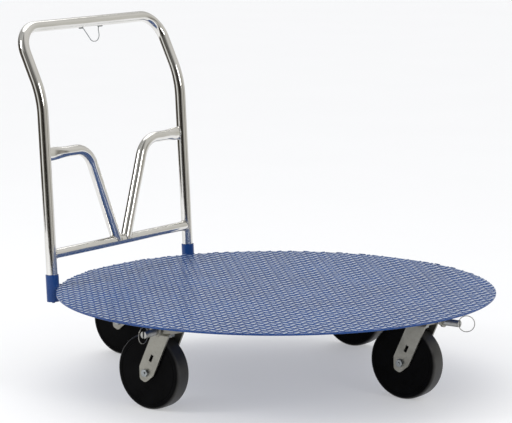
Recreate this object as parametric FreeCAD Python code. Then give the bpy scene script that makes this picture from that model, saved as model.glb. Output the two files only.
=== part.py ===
import FreeCAD, Part
import math
import os

# Round platform cart: a 48 inch tread-plate deck on four locking swivel casters, with a tubular
# push handle that stands in two sockets on the rim and lifts out.
# Millimetres. +X points away from the handle, +Z up. Pieces are laid out from the deck's centre
# and moved along X as they are saved, so that the origin is on the floor under the cart's box.

V = FreeCAD.Vector
X_AXIS, Y_AXIS, Z_AXIS = V(1, 0, 0), V(0, 1, 0), V(0, 0, 1)

# Deck
DECK_DIA = 1219.2
DECK_THICKNESS = 6.35
PAD_THICKNESS = 4.76
PAD_MARGIN = 6.0
PAD_CORNER = 8.0

# Cross channels under the deck, toes up, set between the casters
CHANNEL_REACH = 400.0
CHANNEL_WIDTH = 76.0
CHANNEL_DEPTH = 38.0
CHANNEL_WALL = 5.0
CHANNEL_BEARING = 45.0

# Casters
CASTER_EDGE_INSET = 125.3
CASTER_BEARINGS = {"front": 0.0, "left": 90.0, "back": 180.0, "right": 270.0}
CASTER_TRAIL = 53.5
WHEEL_DIA = 203.2
WHEEL_WIDTH = 50.8
WHEEL_SHOULDER = 9.0
WHEEL_FACE_RING_INSET = 15.0
WHEEL_FACE_RING_WIDTH = 2.0
WHEEL_FACE_RING_DEPTH = 0.8
HUB_DIA = 46.0
HUB_STAND_OUT = 3.0
BEARING_WALL = 5.5
ROLLER_COUNT = 10
ROLLER_PROUD = 0.6
AXLE_DIA = 12.7
SLEEVE_WALL = 3.1
HEX_FLAT_RATIO = 1.5
AXLE_HEAD_HEIGHT = 7.5
AXLE_NUT_HEIGHT = 10.5
AXLE_END_PROUD = 3.0
GREASE_CUP_DIA = 6.0
GREASE_CUP_HEIGHT = 3.0

# Fork
FORK_THICKNESS = 6.0
FORK_WIDTH = 50.8
FORK_LEAN = 24.8
FORK_BEND_RADIUS = 10.0
FORK_END_WIDTH = 20.0
FORK_END_DROP = 25.4
FORK_END_RISE = 5.0
FORK_END_RADIUS = 10.0
FORK_SHOULDER_RADIUS = 20.0
FORK_SLOT_RISE = 45.0
FORK_SLOT_LENGTH = 20.0
FORK_SLOT_WIDTH = 9.0
CROWN_CLEARANCE = 6.8

# Swivel bearing, kingpin and top plate
LOCK_RING_DIA = 92.0
LOCK_RING_THICKNESS = 11.5
NOTCH_DEPTH = 6.6
NOTCH_COUNT = 4
RACE_GAP = 1.0
RACE_PITCH_DIA = 62.0
RACE_BOSS_WIDTH = 14.0
RACE_BOSS_HEIGHT = 6.45
BALL_DIA = 8.0
BALL_COUNT = 14
KINGPIN_DIA = 16.0
KINGPIN_NUT_HEIGHT = 9.5
KINGPIN_END_PROUD = 2.0
TOP_PLATE_LENGTH = 114.3
TOP_PLATE_WIDTH = 101.6
TOP_PLATE_THICKNESS = 6.35
TOP_PLATE_CORNER = 10.0
PLATE_BOLT_DIA = 9.5
PLATE_BOLT_LONG = 92.1
PLATE_BOLT_SHORT = 66.7
PLATE_BOLT_DEPTH_IN_DECK = 3.0
PLATE_BOLT_HEAD = 6.0

# Swivel lock: a sprung plunger in a barrel with two prongs, and a pull ring
BARREL_DIA = 19.0
BARREL_RING_GAP = 2.5
BARREL_LENGTH = 61.0
SLOT_WIDTH = 5.2
SLOT_LENGTH = 27.0
STEM_WALL = 2.5
PLUNGER_DIA = 8.0
PLUNGER_NOSE_LENGTH = 13.0
STEM_DIA = 5.0
STEM_PAST_HOLE = 3.0
RING_DIA = 45.0
RING_WIRE = 2.2
RING_HOLE_FROM_TIP = 44.9
RING_TWISTS = {"front": 30.0, "left": -12.0, "back": 20.0, "right": 5.0}
LOCK_TAB_THICKNESS = 6.0
LOCK_TAB_WIDTH = 32.0
LOCK_TAB_DROP = 5.0
LOCK_RIDE_GAP = 0.6
LOCK_PULL = 14.0
LOCKS_PULLED_OUT = ("front", "back")
SPRING_WIRE = 1.2
SPRING_TURNS = 2.5

# Handle
POST_DIA = 31.75
TUBE_WALL = 2.1
POST_SPACING = 627.2
POST_LEAN = 3.05
UPPER_LEAN = 25.5
BEND_RISE = 525.5
UPPER_RISE = 188.1
BEND_RADIUS = 255.0
CORNER_RADIUS = 76.2
CROSSBAR_DIA = 28.6
CROSSBAR_RISE = 84.1
BRACE_DIA = 31.75
BRACE_HEIGHT = 280.5
BRACE_FOOT_GAP = 5.876
BRACE_LEAN = 21.5
BRACE_BEND_RADIUS = 75.0
BRACE_FLAT_TALL = 38.0
BRACE_FLAT_THICK = 11.0
BRACE_FLAT_LENGTH = 14.0
BRACE_TAPER_LENGTH = 62.0

# Sockets
SOCKET_WALL = 2.3
SOCKET_TOP_RISE = 28.0
SOCKET_LENGTH = 76.0
SOCKET_RIM_GAP = 2.0
SOCKET_WEB_WIDTH = 26.0
SOCKET_WEB_DROP = 24.0
STOP_THICKNESS = 4.0
STOP_NUB_DIA = 9.0
STOP_NUB_LENGTH = 4.5

# Wire bail under the grip, as offsets along the bar and below its underside
BAIL_WIRE = 2.4
BAIL_POINTS = [(-39, 1.2), (-24, 1.2), (15, 42.5), (52.5, 42.5), (44.5, 10), (45.5, 0)]
BAIL_RADII = [10, 26, 17, 8]
BAIL_TABS = [(-41, 14), (44, 17)]
BAIL_TAB_WIDTH = 6.0
BAIL_TAB_THICKNESS = 2.6

# Clearances
RUNNING = 0.05
SLIDING = 0.3
SEAT = 0.05
NUT_GAP = 0.3

# Heights, from the floor up
AXLE_Z = WHEEL_DIA / 2
CROWN_BOTTOM = WHEEL_DIA + CROWN_CLEARANCE
CROWN_TOP = CROWN_BOTTOM + FORK_THICKNESS
LOCK_RING_TOP = CROWN_TOP + LOCK_RING_THICKNESS
LOCK_Z = (CROWN_TOP + LOCK_RING_TOP) / 2
RACE_Z = LOCK_RING_TOP + RACE_GAP / 2
PLATE_BOTTOM = LOCK_RING_TOP + RACE_GAP + RACE_BOSS_HEIGHT
PLATE_TOP = PLATE_BOTTOM + TOP_PLATE_THICKNESS
DECK_BOTTOM = PLATE_TOP + PAD_THICKNESS
DECK_TOP = DECK_BOTTOM + DECK_THICKNESS

# Radii and half widths that follow from the sizes above
DECK_R = DECK_DIA / 2
CASTER_R = DECK_R - CASTER_EDGE_INSET
HUB_HALF = WHEEL_WIDTH / 2 + HUB_STAND_OUT
FORK_INNER = HUB_HALF + SLIDING
FORK_OUTER = FORK_INNER + FORK_THICKNESS
SLEEVE_R = AXLE_DIA / 2 + SEAT + SLEEVE_WALL
BEARING_INNER = SLEEVE_R + RUNNING
BEARING_OUTER = BEARING_INNER + BEARING_WALL
LOCK_RING_R = LOCK_RING_DIA / 2
RACE_R = RACE_PITCH_DIA / 2
POST_R = POST_DIA / 2
POST_HALF = POST_SPACING / 2
SOCKET_INNER = POST_R + SLIDING
SOCKET_R = SOCKET_INNER + SOCKET_WALL
TIP_RIDING = LOCK_RING_R + LOCK_RIDE_GAP
TIP_PULLED = TIP_RIDING + LOCK_PULL
BARREL_START = LOCK_RING_R + BARREL_RING_GAP
BARREL_END = BARREL_START + BARREL_LENGTH
SLOT_START = BARREL_END - SLOT_LENGTH
RING_R = (RING_DIA - RING_WIRE) / 2


def cylinder(radius, length, base, axis=Z_AXIS):
    return Part.makeCylinder(radius, length, base, axis)


def block(x0, x1, y0, y1, z0, z1):
    return Part.makeBox(x1 - x0, y1 - y0, z1 - z0, V(x0, y0, z0))


def rounded_plate(length, width, corner, z0, z1):
    plate = block(-length / 2, length / 2, -width / 2, width / 2, z0, z1)
    uprights = [e for e in plate.Edges if abs(e.tangentAt(e.FirstParameter).z) > 0.99]
    return plate.makeFillet(corner, uprights)


def hexagon(across_flats, height, base, axis=Z_AXIS):
    radius = across_flats / math.sqrt(3)
    corners = [V(radius * math.cos(math.radians(60 * i)), radius * math.sin(math.radians(60 * i)), 0)
               for i in range(7)]
    prism = Part.Face(Part.makePolygon(corners)).extrude(V(0, 0, height))
    chamfer = Part.makeCone(radius * 0.93, radius * 1.09, height * 0.28, V(0, 0, 0))
    upper = Part.makeCone(radius * 1.09, radius * 0.93, height * 0.28, V(0, 0, height * 0.72))
    middle = cylinder(radius * 1.09, height * 0.44, V(0, 0, height * 0.28))
    prism = prism.common(chamfer.fuse([upper, middle]))
    turn = FreeCAD.Rotation(Z_AXIS, axis)
    prism.Placement = FreeCAD.Placement(base, turn).multiply(prism.Placement)
    return prism


def rounded_path(points, radii):
    """Straight runs through the points, with a tangent arc of the given radius at each inner one."""
    edges = []
    start = points[0]
    for i, radius in enumerate(radii, start=1):
        corner = points[i]
        into = (corner - points[i - 1]).normalize()
        out = (points[i + 1] - corner).normalize()
        turn = into.getAngle(out)
        tangent = radius * math.tan(turn / 2)
        a = corner - into * tangent
        b = corner + out * tangent
        to_centre = (out - into).normalize()
        middle = corner + to_centre * (radius / math.cos(turn / 2) - radius)
        edges.append(Part.LineSegment(start, a).toShape())
        edges.append(Part.Arc(a, middle, b).toShape())
        start = b
    edges.append(Part.LineSegment(start, points[-1]).toShape())
    return Part.Wire(edges)


def swept_rod(path, radius):
    first = path.OrderedEdges[0]
    start = first.valueAt(first.FirstParameter)
    direction = first.tangentAt(first.FirstParameter)
    profile = Part.Wire([Part.makeCircle(radius, start, direction)])
    return path.makePipeShell([profile], True, False)


def bent_tube(path, radius, wall):
    return swept_rod(path, radius).cut(swept_rod(path, radius - wall))


def placed(shape, bearing):
    """A caster piece built at the origin, moved to its caster: turned to the bearing and set at its radius."""
    out = shape.copy()
    out.rotate(V(0, 0, 0), Z_AXIS, bearing)
    out.translate(caster_centre(bearing))
    return out


def trailed(shape, bearing):
    """A fork or wheel piece, which trails towards -X on every caster."""
    out = shape.copy()
    out.translate(caster_centre(bearing))
    return out


def caster_centre(bearing):
    angle = math.radians(bearing)
    return V(CASTER_R * math.cos(angle), CASTER_R * math.sin(angle), 0)


# Deck and its stiffening

def bolt_spots():
    return [V(sx * PLATE_BOLT_LONG / 2, sy * PLATE_BOLT_SHORT / 2, 0)
            for sx in (-1, 1) for sy in (-1, 1)]


def deck_plate():
    deck = cylinder(DECK_R, DECK_THICKNESS, V(0, 0, DECK_BOTTOM))
    holes = [cylinder(PLATE_BOLT_DIA / 2 + SEAT, PLATE_BOLT_DEPTH_IN_DECK + SEAT,
                      spot + V(0, 0, DECK_BOTTOM)) for spot in bolt_spots()]
    for bearing in CASTER_BEARINGS.values():
        deck = deck.cut([placed(hole, bearing) for hole in holes])
    return deck


def caster_pad():
    length = TOP_PLATE_LENGTH + 2 * PAD_MARGIN
    width = TOP_PLATE_WIDTH + 2 * PAD_MARGIN
    pad = rounded_plate(length, width, PAD_CORNER, PLATE_TOP, DECK_BOTTOM)
    return pad.cut([cylinder(PLATE_BOLT_DIA / 2 + SEAT, PAD_THICKNESS, spot + V(0, 0, PLATE_TOP))
                    for spot in bolt_spots()])


def channel(start, end):
    half = CHANNEL_WIDTH / 2
    bottom = DECK_BOTTOM - CHANNEL_DEPTH
    outer = block(start, end, -half, half, bottom, DECK_BOTTOM)
    inner = block(start, end, -half + CHANNEL_WALL, half - CHANNEL_WALL,
                  bottom + CHANNEL_WALL, DECK_BOTTOM)
    return outer.cut(inner)


def cross_channels():
    long_one = channel(-CHANNEL_REACH, CHANNEL_REACH)
    halves = [channel(CHANNEL_WIDTH / 2, CHANNEL_REACH), channel(-CHANNEL_REACH, -CHANNEL_WIDTH / 2)]
    long_one.rotate(V(0, 0, 0), Z_AXIS, CHANNEL_BEARING)
    for half in halves:
        half.rotate(V(0, 0, 0), Z_AXIS, CHANNEL_BEARING + 90)
    return long_one, Part.makeCompound(halves)


# Caster: pieces fixed to the deck

def ball_groove(z):
    return Part.makeTorus(RACE_R, BALL_DIA / 2 + SLIDING, V(0, 0, z), Z_AXIS)


def top_plate():
    plate = rounded_plate(TOP_PLATE_LENGTH, TOP_PLATE_WIDTH, TOP_PLATE_CORNER, PLATE_BOTTOM, PLATE_TOP)
    boss_outer = RACE_R + RACE_BOSS_WIDTH / 2
    boss_inner = RACE_R - RACE_BOSS_WIDTH / 2
    boss_bottom = LOCK_RING_TOP + RACE_GAP
    boss = cylinder(boss_outer, RACE_BOSS_HEIGHT, V(0, 0, boss_bottom))
    boss = boss.cut(cylinder(boss_inner, RACE_BOSS_HEIGHT, V(0, 0, boss_bottom)))
    plate = plate.fuse([boss, lock_tab()]).cut(ball_groove(RACE_Z))
    holes = [cylinder(PLATE_BOLT_DIA / 2 + SEAT, TOP_PLATE_THICKNESS, spot + V(0, 0, PLATE_BOTTOM))
             for spot in bolt_spots()]
    holes.append(cylinder(KINGPIN_DIA / 2 + SEAT, TOP_PLATE_THICKNESS, V(0, 0, PLATE_BOTTOM)))
    holes.append(cylinder(BARREL_DIA / 2 + SEAT, BARREL_END, V(LOCK_RING_R, 0, LOCK_Z), X_AXIS))
    return plate.cut(holes).removeSplitter()


def lock_tab():
    """The tab at the plate's outer edge that holds the lock barrel."""
    inner = TOP_PLATE_LENGTH / 2
    outer = inner + LOCK_TAB_THICKNESS
    half = LOCK_TAB_WIDTH / 2
    low = LOCK_Z - BARREL_DIA / 2 - LOCK_TAB_DROP
    tab = block(inner, outer, -half, half, low + half / 2, PLATE_TOP)
    nose = block(inner, outer, -half, half, low, PLATE_TOP)
    nose = nose.common(cylinder(half, LOCK_TAB_THICKNESS, V(inner, 0, low + half), X_AXIS))
    return tab.fuse(nose)


def swivel_balls():
    ball = Part.makeSphere(BALL_DIA / 2, V(RACE_R, 0, RACE_Z))
    balls = []
    for i in range(BALL_COUNT):
        one = ball.copy()
        one.rotate(V(0, 0, 0), Z_AXIS, 360 * i / BALL_COUNT)
        balls.append(one)
    return Part.makeCompound(balls)


def kingpin():
    bottom = CROWN_BOTTOM - NUT_GAP - KINGPIN_NUT_HEIGHT - KINGPIN_END_PROUD
    return cylinder(KINGPIN_DIA / 2, PLATE_TOP - bottom, V(0, 0, bottom))


def kingpin_nut():
    base = V(0, 0, CROWN_BOTTOM - NUT_GAP - KINGPIN_NUT_HEIGHT)
    nut = hexagon(KINGPIN_DIA * HEX_FLAT_RATIO, KINGPIN_NUT_HEIGHT, base)
    return nut.cut(cylinder(KINGPIN_DIA / 2 + SEAT, KINGPIN_NUT_HEIGHT, base))


def plate_bolt():
    radius = PLATE_BOLT_DIA / 2
    length = TOP_PLATE_THICKNESS + PAD_THICKNESS + PLATE_BOLT_DEPTH_IN_DECK
    head = hexagon(PLATE_BOLT_DIA * HEX_FLAT_RATIO, PLATE_BOLT_HEAD, V(0, 0, PLATE_BOTTOM - PLATE_BOLT_HEAD))
    return cylinder(radius, length, V(0, 0, PLATE_BOTTOM)).fuse(head)


def plate_bolts():
    bolts = []
    for spot in bolt_spots():
        bolt = plate_bolt()
        bolt.translate(spot)
        bolts.append(bolt)
    return Part.makeCompound(bolts)


# Swivel lock, laid along +X from the swivel axis

def lock_barrel():
    start = V(BARREL_START, 0, LOCK_Z)
    barrel = cylinder(BARREL_DIA / 2, BARREL_END - BARREL_START, start, X_AXIS)
    bore = cylinder(PLUNGER_DIA / 2 + RUNNING, SLOT_START - BARREL_START - STEM_WALL, start, X_AXIS)
    stem_bore = cylinder(STEM_DIA / 2 + SLIDING, BARREL_END - BARREL_START, start, X_AXIS)
    half = SLOT_WIDTH / 2
    tall = BARREL_DIA
    slot = block(SLOT_START, BARREL_END, -half, half, LOCK_Z - tall, LOCK_Z + tall)
    return barrel.cut([bore, stem_bore, slot])


def lock_plunger(tip):
    nose = cylinder(PLUNGER_DIA / 2, PLUNGER_NOSE_LENGTH, V(tip, 0, LOCK_Z), X_AXIS)
    hole_x = tip + RING_HOLE_FROM_TIP
    stem = cylinder(STEM_DIA / 2, hole_x + STEM_PAST_HOLE - tip, V(tip, 0, LOCK_Z), X_AXIS)
    hole = cylinder(RING_WIRE / 2 + SLIDING, STEM_DIA * 2, V(hole_x, 0, LOCK_Z - STEM_DIA), Z_AXIS)
    return nose.fuse(stem).cut(hole)


def pull_ring(tip, twist):
    """The ring stands upright and is twisted a little about the hole that it hangs in."""
    hole = V(tip + RING_HOLE_FROM_TIP, 0, LOCK_Z)
    ring = Part.makeTorus(RING_R, RING_WIRE / 2, hole + V(RING_R, 0, 0), Y_AXIS)
    ring.rotate(hole, Z_AXIS, twist)
    return ring


def lock_spring(tip):
    """The coil between the plunger's shoulder and the barrel's inner wall."""
    start = tip + PLUNGER_NOSE_LENGTH + SPRING_WIRE
    end = SLOT_START - STEM_WALL - SPRING_WIRE
    coil_r = (PLUNGER_DIA - SPRING_WIRE) / 2 - SLIDING / 2
    path = Part.makeHelix((end - start) / SPRING_TURNS, end - start, coil_r)
    first = path.Edges[0]
    profile = Part.Wire([Part.makeCircle(SPRING_WIRE / 2, first.valueAt(first.FirstParameter),
                                         first.tangentAt(first.FirstParameter))])
    coil = Part.Wire(path).makePipeShell([profile], True, True)
    coil.rotate(V(0, 0, 0), Y_AXIS, 90)
    coil.translate(V(start, 0, LOCK_Z))
    return coil


# Caster: fork and wheel, trailing towards -X

def fork():
    lean = math.radians(FORK_LEAN)
    half = FORK_WIDTH / 2
    run = (CROWN_TOP - AXLE_Z + FORK_WIDTH) / math.cos(lean)
    axle = V(-CASTER_TRAIL, 0, AXLE_Z)
    along = V(math.sin(lean), 0, math.cos(lean))
    across = V(math.cos(lean), 0, -math.sin(lean))
    deep = V(0, 4 * FORK_OUTER, 0)
    back = V(0, -2 * FORK_OUTER, 0)
    corners = [(-half, run), (-half, FORK_END_RISE), (-FORK_END_WIDTH / 2, -FORK_END_DROP),
               (FORK_END_WIDTH / 2, -FORK_END_DROP), (half, FORK_END_RISE), (half, run)]
    points = [axle + across * a + along * b for a, b in corners]
    radii = [FORK_SHOULDER_RADIUS, FORK_END_RADIUS, FORK_END_RADIUS, FORK_SHOULDER_RADIUS]
    outline = rounded_path(points, radii)
    top_edge = Part.LineSegment(points[-1], points[0]).toShape()
    side = Part.Face(Part.Wire(outline.OrderedEdges + [top_edge]))
    side.translate(back)
    side = side.extrude(deep)
    reach = CASTER_TRAIL + 2 * FORK_WIDTH
    outer = block(-reach, reach, -FORK_OUTER, FORK_OUTER, 0, CROWN_TOP)
    edges = [e for e in outer.Edges
             if abs(e.tangentAt(e.FirstParameter).x) > 0.99 and e.BoundBox.ZMin > CROWN_TOP - 1]
    outer = outer.makeFillet(FORK_BEND_RADIUS, edges)
    inner = block(-reach, reach, -FORK_INNER, FORK_INNER, -1, CROWN_BOTTOM)
    edges = [e for e in inner.Edges
             if abs(e.tangentAt(e.FirstParameter).x) > 0.99 and e.BoundBox.ZMin > CROWN_BOTTOM - 1]
    inner = inner.makeFillet(FORK_BEND_RADIUS - FORK_THICKNESS, edges)
    bent_strip = outer.cut(inner).common(side)
    slot = block(-FORK_SLOT_WIDTH / 2, FORK_SLOT_WIDTH / 2, -2 * FORK_OUTER, 2 * FORK_OUTER,
                 FORK_SLOT_RISE - FORK_SLOT_LENGTH / 2, FORK_SLOT_RISE + FORK_SLOT_LENGTH / 2)
    slot.rotate(V(0, 0, 0), Y_AXIS, FORK_LEAN)
    slot.translate(axle)
    axle_hole = cylinder(AXLE_DIA / 2 + SEAT, 4 * FORK_OUTER, axle + back, Y_AXIS)
    bent_strip = bent_strip.cut([slot, axle_hole])
    king_hole = cylinder(KINGPIN_DIA / 2 + RUNNING, CROWN_TOP, V(0, 0, CROWN_BOTTOM - FORK_THICKNESS))
    return bent_strip.fuse(lock_ring()).cut(king_hole).removeSplitter()


def lock_ring():
    """The round lower race on the crown, with the notches that the lock plunger drops into."""
    ring = cylinder(LOCK_RING_R, LOCK_RING_THICKNESS, V(0, 0, CROWN_TOP))
    half = PLUNGER_DIA / 2 + SLIDING
    inner = LOCK_RING_R - NOTCH_DEPTH
    notches = []
    for i in range(NOTCH_COUNT):
        notch = block(inner, LOCK_RING_R + 1, -half, half, LOCK_Z - half, LOCK_RING_TOP)
        notch.rotate(V(0, 0, 0), Z_AXIS, 360 * i / NOTCH_COUNT)
        notches.append(notch)
    return ring.cut(notches + [ball_groove(RACE_Z)])


def axle_bolt():
    """Head on the -Y side, nut on the +Y side."""
    radius = AXLE_DIA / 2
    length = 2 * FORK_OUTER + AXLE_NUT_HEIGHT + AXLE_END_PROUD
    shank = cylinder(radius, length, V(-CASTER_TRAIL, -FORK_OUTER, AXLE_Z), Y_AXIS)
    head = hexagon(AXLE_DIA * HEX_FLAT_RATIO, AXLE_HEAD_HEIGHT, V(-CASTER_TRAIL, -FORK_OUTER, AXLE_Z), -Y_AXIS)
    cup = cylinder(GREASE_CUP_DIA / 2, GREASE_CUP_HEIGHT,
                   V(-CASTER_TRAIL, -FORK_OUTER - AXLE_HEAD_HEIGHT, AXLE_Z), -Y_AXIS)
    return shank.fuse([head, cup])


def axle_nut():
    base = V(-CASTER_TRAIL, FORK_OUTER, AXLE_Z)
    nut = hexagon(AXLE_DIA * HEX_FLAT_RATIO, AXLE_NUT_HEIGHT, base, Y_AXIS)
    return nut.cut(cylinder(AXLE_DIA / 2 + SEAT, AXLE_NUT_HEIGHT, base, Y_AXIS))


def axle_sleeve():
    base = V(-CASTER_TRAIL, -FORK_INNER, AXLE_Z)
    sleeve = cylinder(SLEEVE_R, 2 * FORK_INNER, base, Y_AXIS)
    return sleeve.cut(cylinder(AXLE_DIA / 2 + SEAT, 2 * FORK_INNER, base, Y_AXIS))


def wheel():
    r, half = WHEEL_DIA / 2, WHEEL_WIDTH / 2
    s = WHEEL_SHOULDER
    bore = BEARING_OUTER + SEAT
    hub = HUB_DIA / 2
    diag = s * (1 - math.sqrt(0.5))
    top_right = Part.Arc(V(r, half - s, 0), V(r - diag, half - diag, 0), V(r - s, half, 0))
    top_left = Part.Arc(V(r - s, -half, 0), V(r - diag, -half + diag, 0), V(r, -half + s, 0))
    corners = [V(r - s, half, 0), V(hub, half, 0), V(hub, HUB_HALF, 0), V(bore, HUB_HALF, 0),
               V(bore, -HUB_HALF, 0), V(hub, -HUB_HALF, 0), V(hub, -half, 0), V(r - s, -half, 0)]
    edges = [top_right.toShape()]
    edges += [Part.LineSegment(a, b).toShape() for a, b in zip(corners, corners[1:])]
    edges += [top_left.toShape(), Part.LineSegment(V(r, -half + s, 0), V(r, half - s, 0)).toShape()]
    body = Part.Face(Part.Wire(edges)).revolve(V(0, 0, 0), Y_AXIS, 360)
    ring_r = r - WHEEL_FACE_RING_INSET
    for side in (-1, 1):
        base = V(0, side * (half - WHEEL_FACE_RING_DEPTH / 2) - WHEEL_FACE_RING_DEPTH / 2, 0)
        groove = cylinder(ring_r, WHEEL_FACE_RING_DEPTH, base, Y_AXIS)
        groove = groove.cut(cylinder(ring_r - WHEEL_FACE_RING_WIDTH, WHEEL_FACE_RING_DEPTH, base, Y_AXIS))
        body = body.cut(groove)
    body.translate(V(-CASTER_TRAIL, 0, AXLE_Z))
    return body


def roller_bearing():
    """A cage ring with rollers standing slightly proud of both its walls."""
    base = V(0, -HUB_HALF, 0)
    cage_in = BEARING_INNER + ROLLER_PROUD
    cage_out = BEARING_OUTER - ROLLER_PROUD
    cage = cylinder(cage_out, 2 * HUB_HALF, base, Y_AXIS).cut(cylinder(cage_in, 2 * HUB_HALF, base, Y_AXIS))
    roller_r = (BEARING_OUTER - BEARING_INNER) / 2
    middle = (BEARING_OUTER + BEARING_INNER) / 2
    end = BEARING_WALL / 2
    rollers = []
    for i in range(ROLLER_COUNT):
        roller = cylinder(roller_r, 2 * (HUB_HALF - end), V(middle, -HUB_HALF + end, 0), Y_AXIS)
        roller.rotate(V(0, 0, 0), Y_AXIS, 360 * i / ROLLER_COUNT)
        rollers.append(roller)
    bearing = cage.fuse(rollers)
    bearing.translate(V(-CASTER_TRAIL, 0, AXLE_Z))
    return bearing


# Handle. Its lower frame lies in one plane that leans back by POST_LEAN.

def socket_x():
    """X of a post's axis where it passes the middle of the deck's edge."""
    centre_r = DECK_R + SOCKET_R + SOCKET_RIM_GAP
    return -math.sqrt(centre_r ** 2 - POST_HALF ** 2)


def lean_point(y, z):
    """The point of the leaning plane at this Y and height."""
    mid = DECK_BOTTOM + DECK_THICKNESS / 2
    return V(socket_x() - (z - mid) * math.tan(math.radians(POST_LEAN)), y, z)


def lean_axis():
    angle = math.radians(POST_LEAN)
    return V(-math.sin(angle), 0, math.cos(angle))


def top_bar():
    """X and Z of the grip's axis."""
    bend = lean_point(0, DECK_TOP + BEND_RISE)
    return bend.x - UPPER_RISE * math.tan(math.radians(UPPER_LEAN)), bend.z + UPPER_RISE


def post_foot_z():
    return DECK_TOP + SOCKET_TOP_RISE - SOCKET_LENGTH + STOP_THICKNESS + NUT_GAP


def handle_tube():
    bar_x, bar_z = top_bar()
    points = [lean_point(-POST_HALF, post_foot_z()),
              lean_point(-POST_HALF, DECK_TOP + BEND_RISE),
              V(bar_x, -POST_HALF, bar_z),
              V(bar_x, POST_HALF, bar_z),
              lean_point(POST_HALF, DECK_TOP + BEND_RISE),
              lean_point(POST_HALF, post_foot_z())]
    path = rounded_path(points, [BEND_RADIUS, CORNER_RADIUS, CORNER_RADIUS, BEND_RADIUS])
    return bent_tube(path, POST_R, TUBE_WALL)


def post_envelopes():
    """The posts' outer cylinders, for coping what is welded to them."""
    foot = post_foot_z()
    length = (DECK_TOP + BEND_RISE - foot) / math.cos(math.radians(POST_LEAN))
    return [cylinder(POST_R, length, lean_point(side * POST_HALF, foot), lean_axis()) for side in (-1, 1)]


def crossbar_z():
    return DECK_TOP + CROSSBAR_RISE


def crossbar_rod(radius):
    return cylinder(radius, POST_SPACING, lean_point(-POST_HALF, crossbar_z()), Y_AXIS)


def crossbar():
    bar = crossbar_rod(CROSSBAR_DIA / 2).cut(crossbar_rod(CROSSBAR_DIA / 2 - TUBE_WALL))
    return largest(bar.cut(post_envelopes()))


def largest(shape):
    return max(shape.Solids, key=lambda solid: solid.Volume)


def section_ring(major, minor, centre):
    """A closed oval across Y with its long axis along the post, starting at its top."""
    oval = Part.Ellipse(V(0, 0, 0), major, minor) if major > minor else Part.Circle(V(0, 0, 0), Z_AXIS, major)
    edge = oval.toShape()
    upright = FreeCAD.Rotation(lean_axis(), lean_axis().cross(-Y_AXIS), -Y_AXIS, "XYZ")
    edge.Placement = FreeCAD.Placement(centre, upright)
    return Part.Wire([edge])


def brace(side):
    """One bent brace: flattened where it meets the post, coped where it stands on the crossbar."""
    top_z = crossbar_z() + BRACE_HEIGHT
    foot_y = (BRACE_DIA / math.cos(math.radians(BRACE_LEAN)) + BRACE_FOOT_GAP) / 2
    bend_y = foot_y + BRACE_HEIGHT * math.tan(math.radians(BRACE_LEAN))
    flat_y = POST_HALF - POST_R - BRACE_FLAT_LENGTH
    round_y = flat_y - BRACE_TAPER_LENGTH
    radius = BRACE_DIA / 2
    points = [lean_point(side * round_y, top_z), lean_point(side * bend_y, top_z),
              lean_point(side * foot_y, crossbar_z())]
    path = rounded_path(points, [BRACE_BEND_RADIUS])
    flat = section_ring(BRACE_FLAT_TALL / 2, BRACE_FLAT_THICK / 2, lean_point(side * flat_y, top_z))
    taper = Part.makeLoft([section_ring(radius, radius, points[0]), flat], True, False)
    end = Part.Face(flat).extrude(V(0, side * (POST_HALF - flat_y), 0))
    body = swept_rod(path, radius).fuse([taper, end])
    body = body.cut(swept_rod(path, radius - TUBE_WALL))
    body = body.cut(post_envelopes() + [crossbar_rod(CROSSBAR_DIA / 2)])
    return largest(body)


def wire_bail():
    bar_x, bar_z = top_bar()
    under = bar_z - POST_R - SEAT
    points = [V(bar_x, y, under - drop - BAIL_WIRE / 2) for y, drop in BAIL_POINTS]
    return swept_rod(rounded_path(points, BAIL_RADII), BAIL_WIRE / 2).cut(bail_tab_blocks())


def bail_tab_blocks():
    bar_x, bar_z = top_bar()
    low = bar_z - POST_R - BAIL_TAB_THICKNESS
    half = BAIL_TAB_WIDTH / 2
    return [block(bar_x - half, bar_x + half, start, start + length, low, bar_z)
            for start, length in BAIL_TABS]


def bail_tabs():
    bar_x, bar_z = top_bar()
    bar = cylinder(POST_R, POST_SPACING, V(bar_x, -POST_HALF, bar_z), Y_AXIS)
    return Part.makeCompound([largest(tab.cut(bar)) for tab in bail_tab_blocks()])


# Sockets

def socket_foot(side):
    return lean_point(side * POST_HALF, DECK_TOP + SOCKET_TOP_RISE - SOCKET_LENGTH)


def handle_socket(side):
    length = SOCKET_LENGTH / math.cos(math.radians(POST_LEAN))
    foot = socket_foot(side)
    tube = cylinder(SOCKET_R, length, foot, lean_axis())
    web = block(DECK_R - 12.0, DECK_R + SOCKET_R, -SOCKET_WEB_WIDTH / 2, SOCKET_WEB_WIDTH / 2,
                DECK_BOTTOM - SOCKET_WEB_DROP, DECK_TOP)
    bearing = math.degrees(math.atan2(side * POST_HALF, socket_x()))
    web.rotate(V(0, 0, 0), Z_AXIS, bearing)
    deck = cylinder(DECK_R, 2 * DECK_THICKNESS, V(0, 0, DECK_BOTTOM))
    web = web.cut(deck)
    tube = tube.fuse(web)
    bore = cylinder(SOCKET_INNER, 2 * length, foot - lean_axis() * length / 2, lean_axis())
    return tube.cut(bore).removeSplitter()


def socket_stop(side):
    """The plug that a post stands on, with the small nub under it."""
    foot = socket_foot(side)
    plug = cylinder(SOCKET_INNER - SEAT, STOP_THICKNESS, foot, lean_axis())
    nub = cylinder(STOP_NUB_DIA / 2, STOP_NUB_LENGTH, foot, -lean_axis())
    return plug.fuse(nub)


# Saving

def frame_shift():
    """How far the pieces move along X to centre the cart's box on the origin."""
    bar_x, _ = top_bar()
    back = bar_x - POST_R
    twist = math.radians(RING_TWISTS["front"])
    front = CASTER_R + TIP_PULLED + RING_HOLE_FROM_TIP + 2 * RING_R * math.cos(twist) + RING_WIRE / 2
    return -(front + back) / 2


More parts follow.
